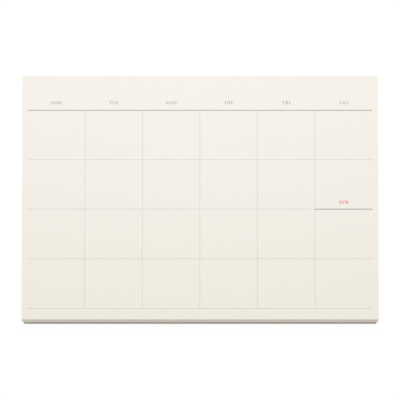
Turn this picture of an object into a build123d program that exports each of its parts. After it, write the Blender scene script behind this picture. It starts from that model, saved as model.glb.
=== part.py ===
from build123d import *
import os

# Weekly planner pad: a stack of sheets on a stiff board, glued along the long rear edge.
# Millimetres. X runs along the long side, Y towards the glued edge and Z up.
# The origin is on the surface that the pad rests on, under the middle of the whole pad.

# Sheets of the stack
sheet_width = 210.0
sheet_depth = 148.0
sheet_thickness = 0.115
sheet_count = 60

# How far the lowest sheet stands in from the top one on each short side
side_lean = 0.55

# The most that a loose edge steps back from the line of the cut
sheet_jog = 0.10

# Backing board, which stands in from the lowest sheet on each short side
board_thickness = 4.5
board_step = 0.65
board_edge_round = 0.35

# Film of padding glue over the rear edges
glue_thickness = 0.35
glue_edge_round = 0.15

# Printed layout, measured on the top sheet
ink_thickness = 0.04
bold_rule_width = 0.28
fine_rule_width = 0.16
header_drop = 20.8
print_margin_left = 3.15
print_margin_right = 3.45
print_margin_front = 6.6
column_count = 6
row_count = 4

# The last column is split in two, and this many rows lie above its second heading
split_row = 2

# Shares of the jog: each sheet moves on by this much from the sheet below it, and the three
# loose sides start at their own shares, so that no two neighbouring edges line up
jog_advance_share = 0.618
left_start_share = 0.11
right_start_share = 0.47
front_start_share = 0.83

# Worked out from the sizes above
pad_depth = sheet_depth + glue_thickness
front_y = -pad_depth / 2
bound_y = front_y + sheet_depth
left_x = -sheet_width / 2
right_x = sheet_width / 2
page_z = board_thickness + sheet_count * sheet_thickness
board_width = sheet_width - 2 * (side_lean + board_step)
header_y = bound_y - header_drop
print_left_x = left_x + print_margin_left
print_right_x = right_x - print_margin_right
print_front_y = front_y + print_margin_front
column_pitch = (print_right_x - print_left_x) / column_count
row_pitch = (header_y - print_front_y) / row_count
last_column_x = print_right_x - column_pitch
split_y = header_y - split_row * row_pitch


def jog(level, start_share):
    """Step back of one sheet's loose edge. The top sheet keeps the line of the cut."""
    if level == sheet_count - 1:
        return 0
    return sheet_jog * ((start_share + level * jog_advance_share) % 1)


def slab(x_low, x_high, y_low, y_high, z_low, height):
    """Flat block between two corners, standing on z_low."""
    centre_x = (x_low + x_high) / 2
    centre_y = (y_low + y_high) / 2
    block = Box(x_high - x_low, y_high - y_low, height, align=(Align.CENTER, Align.CENTER, Align.MIN))
    return Pos(centre_x, centre_y, z_low) * block


def sheet(level):
    """One sheet, counted from the board up, leaning in with the cut and jogged on its own."""
    lean = side_lean * (sheet_count - 1 - level) / (sheet_count - 1)
    return slab(
        left_x + lean + jog(level, left_start_share),
        right_x - lean - jog(level, right_start_share),
        front_y + jog(level, front_start_share),
        bound_y,
        board_thickness + level * sheet_thickness,
        sheet_thickness,
    )


def page_block():
    """The whole stack as one solid, stepped on its three loose sides and flush where it is glued."""
    return Part() + [sheet(level) for level in range(sheet_count)]


def backing_board():
    """Board with its lower edges rounded by handling, all but the one under the glue."""
    board = slab(-board_width / 2, board_width / 2, front_y, bound_y, 0, board_thickness)
    underside = board.faces().sort_by(Axis.Z)[0]
    loose_edges = underside.edges().sort_by(Axis.Y)[:-1]
    return fillet(loose_edges, board_edge_round)


def padding_glue():
    """Film with the outline of the stack and board from behind, rounded where it thins out."""
    half_sheet = sheet_width / 2
    half_lowest = half_sheet - side_lean
    half_board = board_width / 2
    outline = Polyline(
        (-half_sheet, page_z),
        (-half_lowest, board_thickness),
        (-half_board, board_thickness),
        (-half_board, board_edge_round),
        (half_board, board_edge_round),
        (half_board, board_thickness),
        (half_lowest, board_thickness),
        (half_sheet, page_z),
        close=True,
    )
    rear_view = Plane((0, bound_y, 0), x_dir=(1, 0, 0), z_dir=(0, -1, 0))
    film = extrude(rear_view * make_face(outline), -glue_thickness)
    return fillet(film.faces().sort_by(Axis.Y)[-1].edges(), glue_edge_round)


def across(y, x_low, x_high, width):
    """Outline of a printed line that runs along X, centred on y."""
    return Pos((x_low + x_high) / 2, y) * Rectangle(x_high - x_low, width)


def down(x, y_low, y_high, width):
    """Outline of a printed line that runs along Y, centred on x."""
    return Pos(x, (y_low + y_high) / 2) * Rectangle(width, y_high - y_low)


def inked(outline):
    """Skin of ink on the top sheet."""
    return extrude(Plane.XY.offset(page_z) * outline, ink_thickness)


def header_rule():
    """Bold line under the weekday headings."""
    return inked(across(header_y, print_left_x, print_right_x, bold_rule_width))


def sunday_rule():
    """Bold line under the second heading of the last column, from that column's own line."""
    return inked(across(split_y, last_column_x + fine_rule_width / 2, print_right_x, bold_rule_width))


def grid_rules():
    """Fine lines between columns and rows, joined where they cross, as one skin of ink."""
    last_line_x = last_column_x + fine_rule_width / 2
    lowest_y = print_front_y - fine_rule_width / 2
    columns = [
        down(print_left_x + column * column_pitch, lowest_y, header_y - bold_rule_width / 2, fine_rule_width)
        for column in range(1, column_count)
    ]
    rows = [
        across(
            header_y - row * row_pitch,
            print_left_x,
            last_line_x if row == split_row else print_right_x,
            fine_rule_width,
        )
        for row in range(1, row_count + 1)
    ]
    return inked(Sketch() + columns + rows)


pieces = {
    "page_block": page_block,
    "backing_board": backing_board,
    "padding_glue": padding_glue,
    "header_rule": header_rule,
    "grid_rules": grid_rules,
    "sunday_rule": sunday_rule,
}

os.makedirs("parts", exist_ok=True)
for name, build in pieces.items():
    export_step(build(), "parts/" + name + ".step")
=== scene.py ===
"""Looks of a glued weekly planner pad: its sheets, board, padding glue and print, on a white table.

Lengths are in metres, in the frame of the solids: X along the long side, Y towards the glued edge,
Z up. Each sub-assembly is a class that takes its place from the solids and holds its own sizes.
"""

import logging
import math
from collections.abc import Callable
from dataclasses import dataclass
from enum import Enum

import bpy
import numpy as np
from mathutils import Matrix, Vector
from mathutils.geometry import delaunay_2d_cdt


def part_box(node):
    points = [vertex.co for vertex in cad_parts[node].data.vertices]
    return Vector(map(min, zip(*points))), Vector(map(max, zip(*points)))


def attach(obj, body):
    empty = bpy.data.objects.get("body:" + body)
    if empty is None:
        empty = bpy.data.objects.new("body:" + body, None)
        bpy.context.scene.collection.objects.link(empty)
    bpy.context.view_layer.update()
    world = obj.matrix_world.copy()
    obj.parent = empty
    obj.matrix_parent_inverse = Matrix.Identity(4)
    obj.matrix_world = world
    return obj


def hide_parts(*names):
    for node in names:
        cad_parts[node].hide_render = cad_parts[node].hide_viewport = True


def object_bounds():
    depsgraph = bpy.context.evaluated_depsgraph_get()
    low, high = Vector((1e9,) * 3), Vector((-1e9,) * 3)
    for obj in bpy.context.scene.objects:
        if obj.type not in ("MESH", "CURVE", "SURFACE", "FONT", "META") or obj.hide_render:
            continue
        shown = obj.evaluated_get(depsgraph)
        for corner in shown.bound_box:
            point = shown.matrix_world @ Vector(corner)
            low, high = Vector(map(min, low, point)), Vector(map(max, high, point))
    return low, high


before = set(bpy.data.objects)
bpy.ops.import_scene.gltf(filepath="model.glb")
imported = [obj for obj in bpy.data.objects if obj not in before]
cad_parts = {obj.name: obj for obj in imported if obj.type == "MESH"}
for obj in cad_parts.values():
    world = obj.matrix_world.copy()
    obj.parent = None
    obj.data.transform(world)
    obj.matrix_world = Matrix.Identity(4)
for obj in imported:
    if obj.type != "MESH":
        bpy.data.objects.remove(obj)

CAD_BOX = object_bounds()
MM = 0.001
BODY = "root"
LOG = logging.getLogger("planner_pad")
WAVE_STRENGTHS = (0.5, 1.0)
TOP_LEVEL = 255.0
TOE_END = 0.04045
TOE_SLOPE = 12.92
CURVE_LIFT = 0.055
CURVE_POWER = 2.4
CUT_INSIDE_ONLY = 1
CUT_TOLERANCE = 1e-6

Colour = tuple[float, float, float, float]
Box = tuple[np.ndarray, np.ndarray]
Socket = bpy.types.NodeSocket
Place = tuple[float, float]
Swell = Callable[[np.ndarray], np.ndarray]


def linear(red: int, green: int, blue: int) -> Colour:
    """Turns a display colour from 0 to 255 into the linear colour that a shader takes.

    Up to the toe's end, a level is divided by the toe's slope. Above it the level is lifted, scaled
    so that white stays one, and raised to the curve's power.

    Args:
        red: Red level.
        green: Green level.
        blue: Blue level.

    Returns:
        The linear colour with full alpha.
    """
    levels = np.array([red, green, blue]) / TOP_LEVEL
    toe = levels / TOE_SLOPE
    curve = ((levels + CURVE_LIFT) / (1.0 + CURVE_LIFT)) ** CURVE_POWER
    return (*np.where(levels <= TOE_END, toe, curve).tolist(), 1.0)


def node_box(node: str) -> Box:
    """Lowest and highest corner of a solid, as arrays."""
    low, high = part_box(node)
    return np.array(low), np.array(high)


def smooth_step(share: np.ndarray) -> np.ndarray:
    """Rise from 0 to 1 that starts and ends level: three squares less two cubes of the share."""
    held = np.clip(share, 0.0, 1.0)
    return held * held * (3.0 - 2.0 * held)


def waves(places: np.ndarray, wavelengths: tuple[float, ...], rng: np.random.Generator) -> np.ndarray:
    """Adds up one sine wave for each wavelength, each with its own random phase and strength.

    Args:
        places: Where the sum is wanted, along one line.
        wavelengths: Wavelength of each wave.
        rng: Source of the phases and strengths.

    Returns:
        Values of about -1 to 1, one for each place.
    """
    phases = rng.uniform(0, 2 * math.pi, len(wavelengths))
    strengths = rng.uniform(*WAVE_STRENGTHS, len(wavelengths))
    angles = 2 * math.pi * places[..., None] / np.array(wavelengths) + phases
    return np.sin(angles) @ strengths / strengths.sum()


def grid_quads(rows: int, columns: int, closed: bool) -> np.ndarray:
    """Quads of a grid of points that are stored row by row.

    Args:
        rows: Number of rows of points.
        columns: Number of points in a row.
        closed: Whether each row joins up with its own start.

    Returns:
        Four point numbers for each quad, facing outwards where a row runs anticlockwise and the
        rows rise.
    """
    spans = columns if closed else columns - 1
    row, column = np.meshgrid(np.arange(rows - 1), np.arange(spans), indexing="ij")
    ahead = (column + 1) % columns
    corners = (
        row * columns + column,
        row * columns + ahead,
        (row + 1) * columns + ahead,
        (row + 1) * columns + column,
    )
    return np.stack(corners, axis=-1).reshape(-1, 4)


def closed_wall(rings: np.ndarray) -> tuple[np.ndarray, list, int]:
    """Closes a stack of rings, lowest first, into one surface with a flat top and bottom.

    Args:
        rings: Points by ring and by place along it, each ring anticlockwise from above.

    Returns:
        The points, the faces with the side faces first, and the number of side faces.
    """
    rows, columns = rings.shape[:2]
    sides = grid_quads(rows, columns, closed=True).tolist()
    ring = np.arange(columns)
    top = (ring + (rows - 1) * columns).tolist()
    return rings.reshape(-1, 3), sides + [top, ring[::-1].tolist()], len(sides)


def put_in(name: str, data: bpy.types.ID) -> bpy.types.Object:
    """Makes an object of a mesh, a lamp or a camera and puts it in the scene.

    Args:
        name: Name of the object.
        data: What the object shows.

    Returns:
        The new object.
    """
    made = bpy.data.objects.new(name, data)
    bpy.context.scene.collection.objects.link(made)
    return made


def make_piece(
    name: str,
    points: np.ndarray,
    faces: list,
    materials: list[bpy.types.Material],
    looks: list[int] | None = None,
) -> bpy.types.Object:
    """Makes a mesh object that rides on the pad's only body.

    Args:
        name: Name of the piece.
        points: Its points, one in each row.
        faces: Its faces as lists of point numbers.
        materials: Its materials, in slot order.
        looks: Slot number of each face, or None if all take the first.

    Returns:
        The new object.
    """
    mesh = bpy.data.meshes.new(name)
    mesh.from_pydata(points.tolist(), [], faces)
    for material in materials:
        mesh.materials.append(material)
    if looks is not None:
        mesh.polygons.foreach_set("material_index", looks)
    mesh.update()
    piece = put_in(name, mesh)
    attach(piece, BODY)
    LOG.info("%s: %d points, %d faces", name, len(points), len(faces))
    return piece


def dress(node: str, material: bpy.types.Material) -> None:
    """Puts a material on a solid's object.

    Args:
        node: Name of the solid.
        material: Its finish.
    """
    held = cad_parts[node]
    held.data.materials.clear()
    held.data.materials.append(material)
    LOG.info("%s: finished with %s", node, material.name)


class Graph:
    """Short way to place nodes in one tree and join them up."""

    def __init__(self, tree: bpy.types.NodeTree) -> None:
        """Keeps the tree and clears it."""
        self.tree = tree
        tree.nodes.clear()

    def join(self, socket: Socket, value: object) -> None:
        """Sets an input socket to a value, or feeds it from an output.

        Args:
            socket: The input.
            value: A value, or the output of a node.
        """
        if isinstance(value, Socket):
            self.tree.links.new(value, socket)
        else:
            socket.default_value = value

    def add(self, kind: str, inputs: dict | None = None, **settings: object) -> bpy.types.Node:
        """Places one node.

        Args:
            kind: Blender's name of the node type.
            inputs: For each input's name or number, a value or the output that feeds it.
            settings: Attributes of the node.

        Returns:
            The new node.
        """
        node = self.tree.nodes.new(kind)
        for attribute, value in settings.items():
            setattr(node, attribute, value)
        for key, value in (inputs or {}).items():
            self.join(node.inputs[key], value)
        return node

    def math(self, operation: str, first: object, second: object = 0.0) -> Socket:
        """Result of one sum on two numbers."""
        return self.add("ShaderNodeMath", {0: first, 1: second}, operation=operation).outputs[0]

    def vector(self, operation: str, first: object, second: object) -> Socket:
        """Result of one sum on two vectors."""
        node = self.add("ShaderNodeVectorMath", {0: first, 1: second}, operation=operation)
        return node.outputs["Vector"]

    def ramp(self, value: Socket, low: float, high: float, start: float = 0.0, end: float = 1.0) -> Socket:
        """Value carried smoothly from the range low to high over to the range start to end."""
        inputs = {"Value": value, "From Min": low, "From Max": high, "To Min": start, "To Max": end}
        return self.add("ShaderNodeMapRange", inputs, interpolation_type="SMOOTHSTEP").outputs["Result"]

    def noise(self, place: Socket, scale: object, detail: float, **inputs: float) -> Socket:
        """Value of a noise texture of about 0 to 1."""
        settings = {"Vector": place, "Scale": scale, "Detail": detail, **inputs}
        return self.add("ShaderNodeTexNoise", settings).outputs[0]

    def stretched_noise(self, place: Socket, grain: tuple[float, float, float], detail: float) -> Socket:
        """Noise whose grain has its own length along each axis."""
        squeezed = self.vector("MULTIPLY", place, tuple(1.0 / length for length in grain))
        return self.noise(squeezed, 1.0, detail)

    def blend(self, share: object, first: object, second: object) -> Socket:
        """Mixes two colours.

        Args:
            share: How far the result goes from the first to the second, from 0 to 1.
            first: Colour at 0.
            second: Colour at 1.

        Returns:
            The mixed colour.
        """
        node = self.add("ShaderNodeMix", {"Factor": share}, data_type="RGBA")
        colours = [socket for socket in node.inputs if socket.type == "RGBA"]
        self.join(colours[0], first)
        self.join(colours[1], second)
        return [socket for socket in node.outputs if socket.type == "RGBA"][0]

    def tint(self, colour: object, tone: Colour, mask: Socket, share: float) -> Socket:
        """Mixes a tone into a colour where a mask shows, and there only by the share."""
        return self.blend(self.math("MULTIPLY", mask, share), colour, tone)


def make_group(name: str, inputs: dict[str, str], outputs: tuple[str, ...]) -> tuple:
    """Makes an empty shader node group that puts out masks.

    Args:
        name: Name of the group.
        inputs: Socket type for each input's name.
        outputs: Names of its masks.

    Returns:
        The group, its graph, its input node's outputs and its output node.
    """
    group = bpy.data.node_groups.new(name, "ShaderNodeTree")
    for label, kind in inputs.items():
        group.interface.new_socket(name=label, in_out="INPUT", socket_type=kind)
    for label in outputs:
        group.interface.new_socket(name=label, in_out="OUTPUT", socket_type="NodeSocketFloat")
    graph = Graph(group)
    return group, graph, graph.add("NodeGroupInput").outputs, graph.add("NodeGroupOutput")


class Effects:
    """Shader groups that more than one finish uses, each made once."""

    FIBRE_TURNS_DEG = (17.0, 71.0, 138.0)
    FIBRE_STRETCH = (1.0, 0.24, 1.0)
    FIBRE_RANGE = (0.46, 0.76)
    FIBRE_BEND = 0.6
    FIBRE_DETAIL = 3.0
    CLOUD_RANGE = (0.3, 0.7)
    CLOUD_DETAIL = 4.0
    CLOUD_ROUGHNESS = 0.6
    RUB_RANGE = (0.35, 0.65)
    RUB_DETAIL = 3.0
    RUB_GRAIN = 3.8 * MM

    def __init__(self) -> None:
        """Makes the groups."""
        self.fibres = self.fibre_group()
        self.rub = self.rub_group()

    def fibre_group(self) -> bpy.types.NodeTree:
        """Grain of pressed fibres: stretched, bent noises that lie three ways, and a slow cloud.

        Returns:
            The group, with a mask of the fibres and one of the clouds.
        """
        sizes = {
            "Position": "NodeSocketVector",
            "Fibre Size": "NodeSocketFloat",
            "Cloud Size": "NodeSocketFloat",
        }
        group, graph, given, result = make_group("pressed_fibres", sizes, ("Fibres", "Clouds"))
        place = given["Position"]
        fine = graph.math("DIVIDE", 1.0, given["Fibre Size"])
        slow = graph.math("DIVIDE", 1.0, given["Cloud Size"])
        strands = [self.strand(graph, place, fine, math.radians(turn)) for turn in self.FIBRE_TURNS_DEG]
        crossed = graph.math("MAXIMUM", graph.math("MAXIMUM", strands[0], strands[1]), strands[2])
        drifts = graph.noise(place, slow, self.CLOUD_DETAIL, Roughness=self.CLOUD_ROUGHNESS)
        clouds = graph.ramp(drifts, *self.CLOUD_RANGE)
        graph.join(result.inputs["Fibres"], crossed)
        graph.join(result.inputs["Clouds"], clouds)
        return group

    def strand(self, graph: Graph, place: Socket, scale: Socket, turn: float) -> Socket:
        """Mask of the fibres that lie one way: noise drawn out along that way.

        Args:
            graph: The group's graph.
            place: Position on the piece.
            scale: One over the width of a fibre.
            turn: Angle of the fibres about Z.

        Returns:
            The mask.
        """
        inputs = {"Vector": place, "Angle": turn}
        turned = graph.add("ShaderNodeVectorRotate", inputs, rotation_type="Z_AXIS").outputs["Vector"]
        drawn = graph.vector("MULTIPLY", turned, self.FIBRE_STRETCH)
        bent = graph.noise(drawn, scale, self.FIBRE_DETAIL, Distortion=self.FIBRE_BEND)
        return graph.ramp(bent, *self.FIBRE_RANGE)

    def rub_group(self) -> bpy.types.NodeTree:
        """Rub mask of a box-shaped piece: strong where two of its faces meet, broken up by noise.

        Of the point's distances to the three pairs of faces, the second smallest is near zero only
        along an edge, so the mask falls from one to nothing as that distance grows to the reach.

        Returns:
            The group, with the mask.
        """
        sizes = dict.fromkeys(("Position", "Low", "High"), "NodeSocketVector")
        sizes["Reach"] = "NodeSocketFloat"
        group, graph, given, result = make_group("edge_rub", sizes, ("Mask",))
        place = given["Position"]
        from_low = graph.vector("SUBTRACT", place, given["Low"])
        from_high = graph.vector("SUBTRACT", given["High"], place)
        nearest = graph.vector("MINIMUM", from_low, from_high)
        split = graph.add("ShaderNodeSeparateXYZ", {"Vector": nearest}).outputs
        larger = graph.math("MAXIMUM", split["X"], split["Y"])
        smaller = graph.math("MINIMUM", split["X"], split["Y"])
        second = graph.math("MAXIMUM", smaller, graph.math("MINIMUM", larger, split["Z"]))
        near = graph.math("SUBTRACT", 1.0, graph.math("DIVIDE", second, given["Reach"]))
        broken = graph.ramp(graph.noise(place, 1.0 / self.RUB_GRAIN, self.RUB_DETAIL), *self.RUB_RANGE)
        graph.join(result.inputs["Mask"], graph.math("MULTIPLY", graph.ramp(near, 0.0, 1.0), broken))
        return group

    def grain(
        self, graph: Graph, place: Socket, fibre_size: float, cloud_size: float
    ) -> tuple[Socket, Socket]:
        """Places the fibre group with its sizes.

        Args:
            graph: The material's graph.
            place: Position on the piece.
            fibre_size: Width of a fibre.
            cloud_size: Width of a cloud.

        Returns:
            The mask of the fibres and that of the clouds.
        """
        inputs = {"Position": place, "Fibre Size": fibre_size, "Cloud Size": cloud_size}
        masks = graph.add("ShaderNodeGroup", inputs, node_tree=self.fibres).outputs
        return masks["Fibres"], masks["Clouds"]

    def worn(self, graph: Graph, place: Socket, box: Box, reach: float) -> Socket:
        """Places the rub group for a box.

        Args:
            graph: The material's graph.
            place: Position on the piece.
            box: Box that the piece fills.
            reach: How far the rub goes in from an edge.

        Returns:
            The mask.
        """
        low, high = (tuple(corner.tolist()) for corner in box)
        inputs = {"Position": place, "Low": low, "High": high, "Reach": reach}
        return graph.add("ShaderNodeGroup", inputs, node_tree=self.rub).outputs["Mask"]


def new_material(name: str) -> tuple[bpy.types.Material, Graph, Socket]:
    """Starts a node material.

    Args:
        name: Name of the material.

    Returns:
        The material, its graph and the object's own coordinates.
    """
    material = bpy.data.materials.new(name)
    material.use_nodes = True
    graph = Graph(material.node_tree)
    return material, graph, graph.add("ShaderNodeTexCoord").outputs["Object"]


def close_material(
    graph: Graph,
    colour: Socket,
    roughness: object,
    specular: float,
    bump: tuple[Socket, float] | None = None,
) -> None:
    """Ends a node material with its shader.

    Args:
        graph: The material's graph.
        colour: Base colour.
        roughness: Roughness as a value or an output.
        specular: Specular level of the shader.
        bump: Height output and depth in metres, or None for a plain normal.
    """
    inputs = {"Base Color": colour, "Roughness": roughness, "Specular IOR Level": specular}
    if bump is not None:
        height, depth = bump
        relief = graph.add("ShaderNodeBump", {"Height": height, "Distance": depth})
        inputs["Normal"] = relief.outputs["Normal"]
    shader = graph.add("ShaderNodeBsdfPrincipled", inputs)
    graph.add("ShaderNodeOutputMaterial", {"Surface": shader.outputs["BSDF"]})


@dataclass(frozen=True)
class PagePaper:
    """Uncoated ivory paper of the top sheet: faint clouds, short fibres, and painted light that turns it
    yellower towards the front, where the light is warmer.
    """

    colour: Colour = linear(244, 239, 231)
    cloud_colour: Colour = linear(243, 239, 230)
    # Painted light: towards the front edge the page turns to this yellower colour, for the warmer light
    # there.
    painted_light_tint_colour: Colour = linear(243, 238, 227)
    fibre_colour: Colour = linear(236, 231, 221)
    painted_light_tint_reach: tuple[float, float] = (-90.0 * MM, 30.0 * MM)
    fibre_share: float = 0.14
    fibre_size: float = 0.35 * MM
    cloud_size: float = 9.0 * MM
    fibre_depth: float = 0.003 * MM
    roughness: float = 0.82
    specular: float = 0.25

    def material(self, effects: Effects) -> bpy.types.Material:
        """Makes the material.

        Args:
            effects: Shared shader groups.

        Returns:
            The material.
        """
        material, graph, place = new_material("page_paper")
        fibres, clouds = effects.grain(graph, place, self.fibre_size, self.cloud_size)
        clouded = graph.blend(clouds, self.colour, self.cloud_colour)
        depth = graph.add("ShaderNodeSeparateXYZ", {"Vector": place}).outputs["Y"]
        # Painted light: the page is blended yellower towards its front edge, for the warmer light there.
        painted_light_tinted = graph.blend(graph.ramp(depth, *self.painted_light_tint_reach, 1.0, 0.0), clouded, self.painted_light_tint_colour)
        colour = graph.tint(painted_light_tinted, self.fibre_colour, fibres, self.fibre_share)
        close_material(graph, colour, self.roughness, self.specular, (fibres, self.fibre_depth))
        return material


@dataclass(frozen=True)
class CutEdgePaper:
    """Cut edges of the sheets: the same paper, painted a little darker and warmer as painted shade of the
    fine gaps between leaves, with tone that changes leaf by leaf.
    """

    # Painted shade: these colours are a little darker and warmer than the page paper, for the shade in the
    # fine gaps between the leaves.
    colour: Colour = linear(244, 238, 226)
    shade_colour: Colour = linear(239, 231, 216)
    rubbed_colour: Colour = linear(222, 214, 200)
    tone_range: tuple[float, float] = (0.35, 0.7)
    streak_length: float = 14.0 * MM
    streak_detail: float = 2.0
    leaf_pitch: float = 0.115 * MM
    reach: float = 1.4 * MM
    rubbed_share: float = 0.4
    roughness: float = 0.88
    specular: float = 0.2

    def material(self, effects: Effects, box: Box) -> bpy.types.Material:
        """Makes the material for a stack.

        Args:
            effects: Shared shader groups.
            box: Box that the stack fills.

        Returns:
            The material.
        """
        material, graph, place = new_material("cut_edge_paper")
        grain = (self.streak_length, self.streak_length, self.leaf_pitch)
        tone = graph.ramp(graph.stretched_noise(place, grain, self.streak_detail), *self.tone_range)
        colour = graph.blend(tone, self.colour, self.shade_colour)
        worn = effects.worn(graph, place, box, self.reach)
        colour = graph.tint(colour, self.rubbed_colour, worn, self.rubbed_share)
        close_material(graph, colour, self.roughness, self.specular)
        return material


@dataclass(frozen=True)
class GreyBoard:
    """Grey board of recycled pulp: plies in its thickness, dark specks, pale fibres, rubbed edges."""

    colour: Colour = linear(198, 192, 184)
    ply_colour: Colour = linear(184, 177, 169)
    speck_colour: Colour = linear(118, 111, 104)
    pale_colour: Colour = linear(210, 204, 194)
    ply_range: tuple[float, float] = (0.35, 0.65)
    ply_grain: tuple[float, float, float] = (22.0 * MM, 22.0 * MM, 0.4 * MM)
    ply_detail: float = 3.0
    speck_size: float = 1.5 * MM
    speck_bend: float = 0.35 * MM
    speck_bend_grain: float = 0.3 * MM
    speck_bend_detail: float = 2.0
    speck_range: tuple[float, float] = (0.08, 0.2)
    speck_share: float = 0.7
    fibre_size: float = 0.8 * MM
    cloud_size: float = 14.0 * MM
    fibre_share: float = 0.45
    fibre_depth: float = 0.015 * MM
    cloud_share: float = 0.35
    reach: float = 1.1 * MM
    rubbed_share: float = 0.6
    roughness: float = 0.92
    specular: float = 0.2

    def material(self, effects: Effects, box: Box) -> bpy.types.Material:
        """Makes the material for a board.

        Args:
            effects: Shared shader groups.
            box: Box that the board fills.

        Returns:
            The material.
        """
        material, graph, place = new_material("grey_board")
        plies = graph.ramp(graph.stretched_noise(place, self.ply_grain, self.ply_detail), *self.ply_range)
        colour = graph.blend(plies, self.colour, self.ply_colour)
        fibres, clouds = effects.grain(graph, place, self.fibre_size, self.cloud_size)
        colour = graph.tint(colour, self.ply_colour, clouds, self.cloud_share)
        bend = {"Vector": place, "Scale": 1.0 / self.speck_bend_grain, "Detail": self.speck_bend_detail}
        swirl = graph.add("ShaderNodeTexNoise", bend).outputs["Color"]
        bent = graph.vector("ADD", place, graph.vector("MULTIPLY", swirl, (self.speck_bend,) * 3))
        specks = graph.add("ShaderNodeTexVoronoi", {"Vector": bent, "Scale": 1.0 / self.speck_size})
        dark = graph.ramp(specks.outputs["Distance"], *self.speck_range, self.speck_share, 0.0)
        colour = graph.blend(dark, colour, self.speck_colour)
        colour = graph.tint(colour, self.pale_colour, fibres, self.fibre_share)
        worn = effects.worn(graph, place, box, self.reach)
        colour = graph.tint(colour, self.pale_colour, worn, self.rubbed_share)
        close_material(graph, colour, self.roughness, self.specular, (fibres, self.fibre_depth))
        return material


@dataclass(frozen=True)
class PaddingFilm:
    """Dried padding glue: an off-white satin film with brush streaks along the edge."""

    colour: Colour = linear(236, 231, 220)
    thin_colour: Colour = linear(228, 222, 209)
    tone_range: tuple[float, float] = (0.3, 0.72)
    streak_grain: tuple[float, float, float] = (18.0 * MM, 0.9 * MM, 0.32 * MM)
    streak_detail: float = 4.0
    streak_depth: float = 0.018 * MM
    smooth: float = 0.36
    rough: float = 0.55
    specular: float = 0.4

    def material(self) -> bpy.types.Material:
        """Makes the material.

        Returns:
            The material.
        """
        material, graph, place = new_material("padding_film")
        streaks = graph.stretched_noise(place, self.streak_grain, self.streak_detail)
        colour = graph.blend(graph.ramp(streaks, *self.tone_range), self.colour, self.thin_colour)
        roughness = graph.ramp(streaks, *self.tone_range, self.smooth, self.rough)
        close_material(graph, colour, roughness, self.specular, (streaks, self.streak_depth))
        return material


@dataclass(frozen=True)
class PrintInk:
    """Ink that has sunk into the paper, so that its fibres show through as paler flecks."""

    name: str
    colour: Colour
    pale_colour: Colour
    fibre_size: float = 0.3 * MM
    cloud_size: float = 6.0 * MM
    fibre_share: float = 0.35
    roughness: float = 0.7
    specular: float = 0.3

    def material(self, effects: Effects) -> bpy.types.Material:
        """Makes the material.

        Args:
            effects: Shared shader groups.

        Returns:
            The material.
        """
        material, graph, place = new_material(self.name)
        fibres, _ = effects.grain(graph, place, self.fibre_size, self.cloud_size)
        colour = graph.tint(self.colour, self.pale_colour, fibres, self.fibre_share)
        close_material(graph, colour, self.roughness, self.specular)
        return material


class Ink(Enum):
    """Inks of the printed sheet."""

    BOLD = PrintInk("bold_ink", linear(110, 104, 98), linear(142, 136, 129))
    HEAVY = PrintInk("heavy_ink", linear(44, 40, 37), linear(78, 73, 68))
    FINE = PrintInk("fine_ink", linear(194, 188, 179), linear(207, 201, 192))
    GREY = PrintInk("grey_ink", linear(168, 163, 156), linear(186, 181, 173))
    RED = PrintInk("red_ink", linear(230, 0, 106), linear(236, 40, 132))


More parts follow.
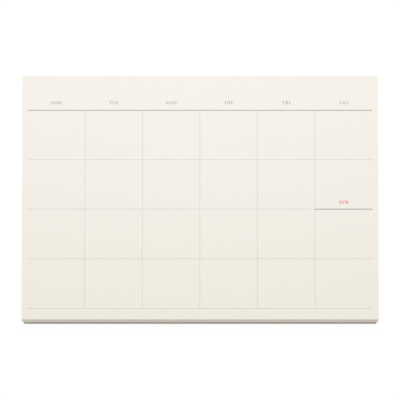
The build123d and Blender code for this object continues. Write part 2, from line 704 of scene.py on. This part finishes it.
@dataclass
class SheetStack:
    """Stack of sheets. Each sheet's cut edge is a ridge of its own between two shallow grooves."""

    leaf_count: int = 60
    jog: float = 0.10 * MM
    groove: float = 0.02 * MM
    ripple: float = 0.015 * MM
    ripple_lengths: tuple[float, ...] = (170.0 * MM, 61.0 * MM, 23.0 * MM)
    level_shares: tuple[float, ...] = (0.0, 0.2, 0.8)
    groove_shares: tuple[float, ...] = (1.0, 0.0, 0.0)
    front_steps: int = 120
    side_steps: int = 84
    seed: int = 11

    def __post_init__(self) -> None:
        """Reads the stack's place and its lean from its solid: the lowest sheet's right end stands in."""
        self.low, self.high = node_box("page_block")
        self.leaf = (self.high[2] - self.low[2]) / self.leaf_count
        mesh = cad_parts["page_block"].data
        points = np.empty(len(mesh.vertices) * 3, np.float32)
        mesh.vertices.foreach_get("co", points)
        points = points.reshape(-1, 3)
        lowest = points[points[:, 2] < self.low[2] + self.leaf / 2]
        self.lean = float(self.high[0] - lowest[:, 0].max())
        sheets = np.arange(self.leaf_count)
        rows = (self.low[2] + self.leaf * (sheets[:, None] + np.array(self.level_shares))).ravel()
        self.row_height = np.append(rows, self.high[2])
        self.row_sheet = np.append(np.repeat(sheets, len(self.level_shares)), self.leaf_count - 1)
        self.row_groove = np.append(np.tile(self.groove_shares, self.leaf_count), 0.0)

    def inset(self, shares: np.ndarray, length: float, rng: np.random.Generator, lean: float) -> np.ndarray:
        """How far one loose side lies inside the top sheet's outline.

        The inset is the cut's lean, growing with depth below the top sheet, plus each sheet's own
        jog, plus a slow ripple along the edge, plus the groove between sheets.

        Args:
            shares: Places along the side, from 0 to 1.
            length: Length of the side.
            rng: Source of the jogs and ripples.
            lean: Lean of the cut at the lowest sheet.

        Returns:
            Inset for each row of the surface and each place.
        """
        jogs = rng.uniform(0.0, self.jog, self.leaf_count)
        jogs[-1] = 0.0
        depth = 1.0 - self.row_sheet / (self.leaf_count - 1)
        slow = waves(shares * length, self.ripple_lengths, rng)
        shifts = rng.uniform(0.0, 1.0, self.leaf_count)
        ripples = self.ripple * (1.0 + np.sin(2 * math.pi * (shifts[:, None] + slow[None, :])))
        ripples[-1] = 0.0
        steady = lean * depth + jogs[self.row_sheet] + self.groove * self.row_groove
        return steady[:, None] + ripples[self.row_sheet]

    def build(self, effects: Effects) -> None:
        """Builds the stack as one closed surface in place of its solid.

        The outline runs anticlockwise: left side, front, right side, and straight back across the
        glued edge. A point is a share across and a share along, carried onto the rectangle that
        the insets leave at its row, so the corners stay sharp.

        Args:
            effects: Shared shader groups.
        """
        rng = np.random.default_rng(self.seed)
        side = np.linspace(0.0, 1.0, self.side_steps + 1)
        front = np.linspace(0.0, 1.0, self.front_steps + 1)
        across = np.concatenate([np.zeros(self.side_steps), front, np.ones(self.side_steps)])
        along = np.concatenate([side[:0:-1], np.zeros(self.front_steps + 1), side[1:]])
        width, depth = (self.high - self.low)[:2]
        left = self.low[0] + self.inset(along, depth, rng, self.lean)
        right = self.high[0] - self.inset(along, depth, rng, self.lean)
        near = self.low[1] + self.inset(across, width, rng, 0.0)
        height = np.broadcast_to(self.row_height[:, None], left.shape)
        rings = np.stack([left + (right - left) * across, near + (self.high[1] - near) * along, height], -1)
        points, faces, side_count = closed_wall(rings)
        looks = [1] * side_count + [0] * (len(faces) - side_count)
        finishes = [PagePaper().material(effects), CutEdgePaper().material(effects, (self.low, self.high))]
        stack = make_piece("sheet_stack", points, faces, finishes, looks)
        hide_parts("page_block")


@dataclass
class BackingBoard:
    """Stiff board of pressed plies, with rounded lower edges and fine grooves between the plies."""

    lower_round: float = 0.35 * MM
    upper_round: float = 0.10 * MM
    corner_round: float = 0.45 * MM
    ply_count: int = 3
    ply_groove: float = 0.05 * MM
    ply_groove_width: float = 0.16 * MM
    wave_depth: float = 0.03 * MM
    wave_lengths: tuple[float, ...] = (83.0 * MM, 29.0 * MM, 11.0 * MM)
    round_steps: int = 6
    rows_up: int = 64
    front_steps: int = 150
    side_steps: int = 105
    seed: int = 23

    def outline(self, low: np.ndarray, high: np.ndarray) -> tuple[np.ndarray, np.ndarray]:
        """Loose outline, anticlockwise: down the left side, along the front and up the right side.

        A corner is an arc of the corner's rounding. The rear ends stay square.

        Args:
            low: Lowest corner of the board.
            high: Highest corner of the board.

        Returns:
            The places of the outline and its outward directions.
        """
        turn = np.linspace(0.0, math.pi / 2, self.round_steps + 1)
        inner_left = low[0] + self.corner_round
        inner_right = high[0] - self.corner_round
        inner_front = low[1] + self.corner_round
        side = np.linspace(high[1], inner_front, self.side_steps, endpoint=False)
        front = np.linspace(inner_left, inner_right, self.front_steps, endpoint=False)[1:]
        left_turn = np.stack([-np.cos(turn), -np.sin(turn)], -1)
        right_turn = np.stack([np.sin(turn), -np.cos(turn)], -1)
        places = [
            np.column_stack([np.full_like(side, low[0]), side]),
            np.array([inner_left, inner_front]) + self.corner_round * left_turn,
            np.column_stack([front, np.full_like(front, low[1])]),
            np.array([inner_right, inner_front]) + self.corner_round * right_turn,
            np.column_stack([np.full_like(side, high[0]), side[::-1]]),
        ]
        outward = [
            np.tile([-1.0, 0.0], (len(side), 1)),
            left_turn,
            np.tile([0.0, -1.0], (len(front), 1)),
            right_turn,
            np.tile([1.0, 0.0], (len(side), 1)),
        ]
        return np.concatenate(places), np.concatenate(outward)

    def profile(self, thickness: float) -> tuple[np.ndarray, np.ndarray]:
        """Section of a loose edge, from the underside up.

        Two quarter rounds end it, and between them the inset is a narrow bell at each ply's joint:
        the groove's depth over one plus the square of the distance from the joint in half widths.

        Args:
            thickness: Thickness of the board.

        Returns:
            The inset and the height of each row.
        """
        turn = np.linspace(0.0, math.pi / 2, self.round_steps + 1)
        height = np.linspace(self.lower_round, thickness - self.upper_round, self.rows_up)
        joints = thickness * np.arange(1, self.ply_count) / self.ply_count
        away = (height[:, None] - joints) / (self.ply_groove_width / 2)
        groove = (self.ply_groove / (1.0 + away**2)).sum(axis=1)
        inset = [
            self.lower_round * (1.0 - np.sin(turn)),
            groove[1:-1],
            self.upper_round * (1.0 - np.cos(turn)),
        ]
        rows = [
            self.lower_round * (1.0 - np.cos(turn)),
            height[1:-1],
            thickness - self.upper_round * (1.0 - np.sin(turn)),
        ]
        return np.concatenate(inset), np.concatenate(rows)

    def build(self, effects: Effects) -> None:
        """Builds the board as one closed surface in place of its solid.

        The section is carried along the outline, and a slow wave on it stands for edges that have
        been knocked a little.

        Args:
            effects: Shared shader groups.
        """
        rng = np.random.default_rng(self.seed)
        low, high = node_box("backing_board")
        places, outward = self.outline(low, high)
        inset, height = self.profile(high[2] - low[2])
        steps = np.linalg.norm(np.diff(places, axis=0), axis=1)
        travelled = np.concatenate([[0.0], np.cumsum(steps)])
        worn = self.wave_depth * (1.0 + waves(travelled, self.wave_lengths, rng)) / 2
        flat = places[None, :, :] - outward[None, :, :] * (inset[:, None, None] + worn[None, :, None])
        level = np.broadcast_to(low[2] + height[:, None, None], (*flat.shape[:2], 1))
        points, faces, _ = closed_wall(np.concatenate([flat, level], axis=-1))
        board = make_piece("board_core", points, faces, [GreyBoard().material(effects, (low, high))])
        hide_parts("backing_board")


@dataclass
class GlueFilm:
    """Film of padding glue over the rear edges, brushed on, thin at its rim and uneven between."""

    steps_along: int = 220
    steps_up: int = 24
    rim: float = 0.7 * MM
    rim_share: float = 0.35
    uneven_share: float = 0.13
    streak_slope: float = 0.02
    streak_lengths: tuple[float, ...] = (3.1 * MM, 1.7 * MM, 0.9 * MM)
    drift_lengths: tuple[float, ...] = (90.0 * MM, 37.0 * MM, 13.0 * MM)
    streak_weight: float = 0.6
    drift_weight: float = 0.4
    step_height: float = 0.05 * MM
    seed: int = 5

    def half_widths(self, height: np.ndarray, lean: float) -> np.ndarray:
        """Half of the film's width: the board's, and above it the leaning stack's.

        Args:
            height: Heights where it is wanted.
            lean: How far the lowest sheet stands in from the top one.

        Returns:
            Half of the width at each height.
        """
        board = node_box("backing_board")[1]
        stack = node_box("page_block")[1]
        knots = [board[2] - self.step_height, board[2] + self.step_height, stack[2]]
        return np.interp(height, knots, [board[0], stack[0] - lean, stack[0]])

    def build(self, lean: float) -> None:
        """Builds the film as a closed surface in place of its solid.

        A grid runs along the edge and up it. Its thickness is the solid's, thinned towards the rim
        by a smooth step, and varied by waves that run along the brush's way. The back of the film
        is the same grid laid flat on the sheets, and quads round the rim close the two.

        Args:
            lean: How far the lowest sheet stands in from the top one.
        """
        rng = np.random.default_rng(self.seed)
        low, high = node_box("padding_glue")
        up = np.linspace(low[2], high[2], self.steps_up + 1)[:, None]
        half = self.half_widths(up, lean)
        x = half * np.linspace(-1.0, 1.0, self.steps_along + 1)[None, :]
        z = np.broadcast_to(up, x.shape)
        from_rim = np.minimum(half - np.abs(x), np.minimum(z - low[2], high[2] - z))
        rise = self.rim_share + (1.0 - self.rim_share) * smooth_step(from_rim / self.rim)
        streaks = waves(z + self.streak_slope * x, self.streak_lengths, rng)
        drift = waves(x, self.drift_lengths, rng)
        uneven = (1.0 + self.streak_weight * streaks + self.drift_weight * drift) / 2
        depth = (high[1] - low[1]) * (1.0 - self.uneven_share * uneven) * rise
        outer = np.stack([x, low[1] + depth, z], -1).reshape(-1, 3)
        inner = np.stack([x, np.full_like(x, low[1]), z], -1).reshape(-1, 3)
        quads = grid_quads(*x.shape, closed=False)
        numbers = np.arange(x.size).reshape(x.shape)
        rim = np.concatenate([numbers[0, :-1], numbers[:-1, -1], numbers[-1, :0:-1], numbers[:0:-1, 0]])
        ahead = np.roll(rim, -1)
        walls = np.stack([rim, ahead, ahead + x.size, rim + x.size], -1)
        faces = quads[:, ::-1].tolist() + (quads + x.size).tolist() + walls.tolist()
        film = make_piece("glue_film", np.concatenate([outer, inner]), faces, [PaddingFilm().material()])
        smooth = [True] * len(quads) + [False] * (len(faces) - len(quads))
        film.data.polygons.foreach_set("use_smooth", smooth)
        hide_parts("padding_glue")


class Lettering:
    """Serif capitals drawn as strokes, in shares of the capital's height.

    Upright stems are thick, and level and rising strokes are hairlines. A glyph is its width and
    its strokes, and a stroke is the name of the method that draws it and that method's values.
    """

    STEM = 0.18
    HAIR = 0.10
    SERIF = 0.11
    ARC_STEPS = 16
    MID_HEIGHT = 0.5
    LOWER_HALF_DEG = (180.0, 360.0)
    LOWEST_DEG = 270.0
    GLYPH_SHARES = {
        "A": (0.92, ("slope", 0.08, 0.40, HAIR), ("slope", 0.64, 0.36, STEM), ("bar", 0.24, 0.66, 0.30, 0.37),
              ("bar", 0.00, 0.24, 0.00, HAIR), ("bar", 0.54, 0.92, 0.00, HAIR)),
        "D": (0.98, ("post", 0.11, STEM), ("bowl", (0.26, 0.50), (0.64, 0.465), (-90, 90))),
        "E": (0.76, ("post", 0.11, STEM), ("bar", 0.28, 0.72, 0.93, 1.00), ("bar", 0.65, 0.72, 0.76, 0.93),
              ("bar", 0.28, 0.54, 0.47, 0.54), ("bar", 0.50, 0.54, 0.38, 0.63),
              ("bar", 0.28, 0.76, 0.00, HAIR), ("bar", 0.69, 0.76, 0.07, 0.25)),
        "F": (0.73, ("post", 0.11, STEM), ("bar", 0.28, 0.73, 0.93, 1.00), ("bar", 0.66, 0.73, 0.76, 0.93),
              ("bar", 0.28, 0.54, 0.47, 0.54), ("bar", 0.50, 0.54, 0.38, 0.63)),
        "H": (0.98, ("post", 0.11, STEM), ("post", 0.70, STEM), ("bar", 0.28, 0.70, 0.47, 0.54)),
        "I": (0.39, ("post", 0.11, STEM)),
        "M": (1.28, ("post", 0.11, 0.08), ("post", 0.98, 0.13), ("slope", 0.54, 0.11, 0.13),
              ("slope", 0.58, 1.00, 0.07)),
        "N": (1.02, ("post", 0.11, 0.12), ("post", 0.80, 0.11), ("slope", 0.70, 0.11, 0.19)),
        "O": (0.88, ("bowl", (0.44, 0.50), (0.355, 0.465), (0, 360))),
        "R": (0.98, ("post", 0.11, 0.20), ("bowl", (0.31, 0.735), (0.32, 0.23), (-90, 90)),
              ("leg", 0.68, 0.40, 0.52), ("bar", 0.62, 0.98, 0.00, HAIR)),
        "S": (0.66, ("spine", 0.33, 0.24, 35, 0.13)),
        "T": (0.80, ("post", 0.315, STEM), ("bar", 0.00, 0.80, 0.93, 1.00), ("bar", 0.00, 0.06, 0.74, 0.93),
              ("bar", 0.74, 0.80, 0.74, 0.93)),
        "U": (0.92, ("cup", (0.47, 0.34), (0.285, 0.295)), ("bar", 0.095, 0.275, 0.34, 0.93),
              ("bar", 0.705, 0.805, 0.34, 0.93), ("bar", 0.00, 0.37, 0.93, 1.00),
              ("bar", 0.60, 0.91, 0.93, 1.00)),
        "W": (1.32, ("slope", 0.30, 0.07, 0.15), ("slope", 0.40, 0.64, 0.08), ("slope", 0.80, 0.55, 0.15),
              ("slope", 0.90, 1.18, 0.08), ("bar", 0.00, 0.36, 0.93, 1.00), ("bar", 1.04, 1.32, 0.93, 1.00)),
    }

    def ribbon(self, line: np.ndarray, width: np.ndarray) -> np.ndarray:
        """Quads along a line, each side half of the local width off it, square to its way.

        Args:
            line: Points of the middle line.
            width: Width at each of them.

        Returns:
            Corners of each quad.
        """
        way = np.gradient(line, axis=0)
        way /= np.linalg.norm(way, axis=1, keepdims=True)
        offset = np.stack([-way[:, 1], way[:, 0]], -1) * (width / 2)[:, None]
        left, right = line + offset, line - offset
        return np.stack([right[:-1], right[1:], left[1:], left[:-1]], axis=1)

    def bar(self, left: float, right: float, low: float, high: float) -> np.ndarray:
        """Upright box between two sides and two heights."""
        return np.array([[[left, low], [right, low], [right, high], [left, high]]])

    def slope(self, foot: float, head: float, width: float) -> np.ndarray:
        """Full-height stroke from a foot place to a head place, as wide as given on the level."""
        return np.array([[[foot, 0.0], [foot + width, 0.0], [head + width, 1.0], [head, 1.0]]])

    def leg(self, foot: float, head: float, height: float) -> np.ndarray:
        """Thick stroke that falls from a head place at a height to a foot place."""
        return np.array([[[foot, 0.0], [foot + self.STEM, 0.0], [head + self.STEM, height], [head, height]]])

    def post(self, left: float, width: float) -> np.ndarray:
        """Full-height upright with a serif at both ends.

        Args:
            left: Its left side.
            width: Its width.

        Returns:
            Corners of each quad.
        """
        right = left + width
        serifs = [
            self.bar(left - self.SERIF, right + self.SERIF, low, low + self.HAIR)
            for low in (0.0, 1.0 - self.HAIR)
        ]
        return np.concatenate([self.bar(left, right, 0.0, 1.0), *serifs])

    def arc(self, middle: Place, half: Place, turn: Place, swell: Swell) -> np.ndarray:
        """Stroke along part of an ellipse.

        The width is the hairline's plus a share of what the stem has more.

        Args:
            middle: Middle of the ellipse.
            half: Half of its width and of its height.
            turn: Angles where the stroke starts and ends, in degrees.
            swell: Works out the share from the cosine of the angle.

        Returns:
            Corners of each quad.
        """
        angle = np.radians(np.linspace(*turn, self.ARC_STEPS + 1))
        line = np.array(middle) + np.array(half) * np.stack([np.cos(angle), np.sin(angle)], -1)
        return self.ribbon(line, self.HAIR + (self.STEM - self.HAIR) * swell(np.cos(angle)))

    def bowl(self, middle: Place, half: Place, turn: Place) -> np.ndarray:
        """Part of an ellipse, thick at its sides: its swell is the squared cosine."""
        return self.arc(middle, half, turn, np.square)

    def cup(self, middle: Place, half: Place) -> np.ndarray:
        """Lower half, thick at its left: its swell is the squared half of one less the cosine."""
        return self.arc(middle, half, self.LOWER_HALF_DEG, lambda cosine: ((1.0 - cosine) / 2) ** 2)

    def spine(self, x: float, wide: float, open_deg: float, beak: float) -> np.ndarray:
        """Curve of the S: a left-turning arc over a right-turning one, joined at half height.

        The width is the hairline's plus the rest of the stem's times the squared sine of the way
        gone, and a short beak hangs at each free end.

        Args:
            x: Middle of the letter.
            wide: Half of its width.
            open_deg: Angle of the upper free end, in degrees.
            beak: Length of a beak.

        Returns:
            Corners of each quad.
        """
        tall = (1.0 - self.HAIR) / 4
        turn = np.radians(np.linspace(open_deg, self.LOWEST_DEG, self.ARC_STEPS + 1))
        upper = np.stack([x + wide * np.cos(turn), self.MID_HEIGHT + tall + tall * np.sin(turn)], -1)
        middle = np.array([x, self.MID_HEIGHT])
        line = np.concatenate([upper, (2 * middle - upper)[-2::-1]])
        share = np.linspace(0.0, 1.0, len(line))
        curve = self.ribbon(line, self.HAIR + (self.STEM - self.HAIR) * np.sin(math.pi * share) ** 2)
        tip_x, tip_y = upper[0]
        top = self.bar(tip_x - self.HAIR / 2, tip_x + self.HAIR / 2, tip_y - beak, tip_y)
        bottom = 2 * middle - top[:, [2, 3, 0, 1]]
        return np.concatenate([curve, top, bottom])

    def quads(self, letter: str) -> tuple[float, np.ndarray]:
        """Draws one capital.

        Args:
            letter: The capital.

        Returns:
            Its width and the corners of each quad.
        """
        width, *strokes = self.GLYPH_SHARES[letter]
        drawn = [getattr(self, kind)(*values) for kind, *values in strokes]
        return width, np.concatenate(drawn)

    def word(self, text: str, gap: float) -> np.ndarray:
        """Quads of a word whose middle is the origin.

        Args:
            text: Capitals to set.
            gap: Space between two capitals.

        Returns:
            Corners of each quad.
        """
        widths, glyphs = zip(*(self.quads(letter) for letter in text))
        starts = np.concatenate([[0.0], np.cumsum(np.array(widths) + gap)])
        middle = np.array([(starts[-1] - gap) / 2, self.MID_HEIGHT])
        return np.concatenate([glyph + [start, 0.0] - middle for start, glyph in zip(starts, glyphs)])


def raised(quads: np.ndarray, base: float, top: float) -> tuple[np.ndarray, list]:
    """Closed slab over the union of flat quads.

    The quads are cut against each other into triangles, and a triangle stays where a quad holds
    it. The kept triangles are the top, and turned round they are the bottom. A side that only one
    of them has lies on the outline, and a wall stands on it.

    Args:
        quads: Corners of each quad.
        base: Height of the bottom.
        top: Height of the top.

    Returns:
        The points and the faces.
    """
    after, before = np.roll(quads, -1, axis=1), quads
    area = (before[..., 0] * after[..., 1] - before[..., 1] * after[..., 0]).sum(axis=1)
    turned = np.where((area > 0)[:, None, None], quads, quads[:, ::-1])
    corners = [Vector(corner) for corner in turned.reshape(-1, 2)]
    rings = np.arange(len(corners)).reshape(-1, 4).tolist()
    places, _, triangles, _, _, holders = delaunay_2d_cdt(
        corners, [], rings, CUT_INSIDE_ONLY, CUT_TOLERANCE
    )
    kept = np.array([triangle for triangle, held in zip(triangles, holders) if held])
    used, numbered = np.unique(kept, return_inverse=True)
    kept = numbered.reshape(-1, 3)
    flat = np.array([tuple(place) for place in places])[used]
    count = len(flat)
    sides = np.concatenate([kept[:, [0, 1]], kept[:, [1, 2]], kept[:, [2, 0]]])
    inner = np.isin(sides[:, 0] * count + sides[:, 1], sides[:, 1] * count + sides[:, 0])
    start, end = sides[~inner].T
    walls = np.stack([start + count, end + count, end, start], -1)
    points = np.concatenate([np.column_stack([flat, np.full(count, level)]) for level in (top, base)])
    return points, kept.tolist() + (kept[:, ::-1] + count).tolist() + walls.tolist()


class Weekday(Enum):
    """Days of the printed sheet, in the order of their headings."""

    MON = 0
    TUE = 1
    WED = 2
    THU = 3
    FRI = 4
    SAT = 5
    SUN = 6


@dataclass
class PrintedLayout:
    """Print of the top sheet: bold and fine lines, and a small heading over each column."""

    column_count: int = 6
    capital_height: float = 1.76 * MM
    tracking: float = 0.44 * MM
    header_rise: float = 4.63 * MM
    sunday_rise: float = 4.28 * MM
    first_shift: float = -0.13 * MM
    shift_step: float = 0.11 * MM

    def build(self, effects: Effects) -> None:
        """Finishes the printed lines and sets the headings.

        Args:
            effects: Shared shader groups.
        """
        inks = {ink: ink.value.material(effects) for ink in Ink}
        dress("header_rule", inks[Ink.BOLD])
        dress("sunday_rule", inks[Ink.HEAVY])
        dress("grid_rules", inks[Ink.FINE])
        low, high = node_box("header_rule")
        sunday_low, sunday_high = node_box("sunday_rule")
        header_y = (low[1] + high[1]) / 2 + self.header_rise
        sunday_y = (sunday_low[1] + sunday_high[1]) / 2 + self.sunday_rise
        pitch = (high[0] - low[0]) / self.column_count
        for day in Weekday:
            column = min(day.value, self.column_count - 1)
            middle = np.array([low[0] + pitch * (column + 0.5), header_y])
            if day is Weekday.SUN:
                middle[1] = sunday_y
                self.heading(day, middle, inks[Ink.RED])
            else:
                middle[0] += self.first_shift + self.shift_step * column
                self.heading(day, middle, inks[Ink.GREY])

    def heading(self, day: Weekday, middle: np.ndarray, ink: bpy.types.Material) -> bpy.types.Object:
        """Sets one heading as a skin of ink, as thick as the printed lines.

        Args:
            day: Day to set.
            middle: Middle of its capitals.
            ink: Its material.

        Returns:
            The heading.
        """
        low, high = node_box("header_rule")
        quads = Lettering().word(day.name, self.tracking / self.capital_height)
        points, faces = raised(quads, low[2], high[2])
        points[:, :2] = points[:, :2] * self.capital_height + middle
        return make_piece("heading_" + day.name.lower(), points, faces, [ink])


@dataclass
class Studio:
    """White table under an even sky and one wide lamp behind and above the pad."""

    table_half: float = 30.0
    table_drop: float = 0.15 * MM
    bounce: float = 0.8
    camera_white: float = 0.09
    camera_glow: float = 0.935
    sky: float = 0.64
    lamp_size: float = 0.6
    lamp_place: tuple[float, float, float] = (-0.015, 0.42, 0.78)
    lamp_watts: float = 3.45

    def seen(self, graph: Graph) -> Socket:
        """Tells the rays of the camera, mirrors and glass from others.

        Args:
            graph: Graph of the material or the world that asks.

        Returns:
            One for those rays, and nothing for others.
        """
        rays = graph.add("ShaderNodeLightPath").outputs
        mirrored = graph.math("MAXIMUM", rays["Is Glossy Ray"], rays["Is Transmission Ray"])
        return graph.math("MAXIMUM", rays["Is Camera Ray"], mirrored)

    def table(self) -> None:
        """Lays the table, which looks white and still takes the pad's shadow."""
        half, level = self.table_half, -self.table_drop
        corners = [(-half, -half, level), (half, -half, level), (half, half, level), (-half, half, level)]
        mesh = bpy.data.meshes.new("table_top")
        mesh.from_pydata(corners, [], [(0, 1, 2, 3)])
        table = put_in("table_top", mesh)
        material = bpy.data.materials.new("white_table")
        material.use_nodes = True
        graph = Graph(material.node_tree)
        white = (*(self.camera_white,) * 3, 1.0)
        shaded = graph.add("ShaderNodeBsdfDiffuse", {"Color": white}).outputs[0]
        glow = graph.add("ShaderNodeEmission", {"Strength": self.camera_glow}).outputs[0]
        shown = graph.add("ShaderNodeAddShader", {0: shaded, 1: glow}).outputs[0]
        plain = graph.add("ShaderNodeBsdfDiffuse", {"Color": (*(self.bounce,) * 3, 1.0)}).outputs[0]
        mixed = graph.add("ShaderNodeMixShader", {0: self.seen(graph), 1: plain, 2: shown}).outputs[0]
        graph.add("ShaderNodeOutputMaterial", {"Surface": mixed})
        mesh.materials.append(material)

    def light(self) -> None:
        """Sets the sky, white where it is looked at, and the lamp, aimed at the pad."""
        world = bpy.data.worlds.new("sky")
        world.use_nodes = True
        bpy.context.scene.world = world
        graph = Graph(world.node_tree)
        lift = graph.math("MULTIPLY", self.seen(graph), 1.0 - self.sky)
        strength = graph.math("ADD", lift, self.sky)
        sky = graph.add("ShaderNodeBackground", {"Color": (1.0, 1.0, 1.0, 1.0), "Strength": strength})
        graph.add("ShaderNodeOutputWorld", {"Surface": sky.outputs[0]})
        lamp = bpy.data.lights.new("wide_lamp", "AREA")
        lamp.shape = "DISK"
        lamp.size = self.lamp_size
        lamp.energy = self.lamp_watts
        holder = put_in("wide_lamp", lamp)
        holder.location = self.lamp_place
        holder.rotation_euler = (-Vector(self.lamp_place)).to_track_quat("-Z", "Y").to_euler()


@dataclass
class Camera:
    """Long lens that looks down on the pad, a little from the front."""

    tilt_deg: float = 14.55
    distance: float = 6.0
    frame_width: float = 0.2360
    aim_drop: float = 0.22 * MM
    aim_left: float = 0.07 * MM
    sensor: float = 36.0
    near_clip: float = 0.1
    far_clip: float = 100.0

    def place(self) -> None:
        """Aims the camera at the middle of the pad, moved down and left in the picture as given."""
        low, high = CAD_BOX
        tilt = math.radians(self.tilt_deg)
        back = Vector((0.0, -math.sin(tilt), math.cos(tilt)))
        upwards = Vector((0.0, math.cos(tilt), math.sin(tilt)))
        lens = bpy.data.cameras.new("long_lens")
        lens.sensor_width = self.sensor
        lens.lens = self.sensor * self.distance / self.frame_width
        lens.clip_start, lens.clip_end = self.near_clip, self.far_clip
        holder = put_in("long_lens", lens)
        aim = (low + high) / 2 - upwards * self.aim_drop - Vector((self.aim_left, 0.0, 0.0))
        holder.location = aim + back * self.distance
        holder.rotation_euler = back.to_track_quat("Z", "Y").to_euler()
        bpy.context.scene.camera = holder


def main() -> None:
    """Builds the pad's looks piece by piece, then the studio."""
    logging.basicConfig(level=logging.INFO, format="%(name)s: %(message)s")
    bpy.context.scene.view_settings.view_transform = "Standard"
    effects = Effects()
    stack = SheetStack()
    stack.build(effects)
    BackingBoard().build(effects)
    GlueFilm().build(stack.lean)
    PrintedLayout().build(effects)
    studio = Studio()
    studio.table()
    studio.light()
    Camera().place()


if __name__ == "__main__":
    main()
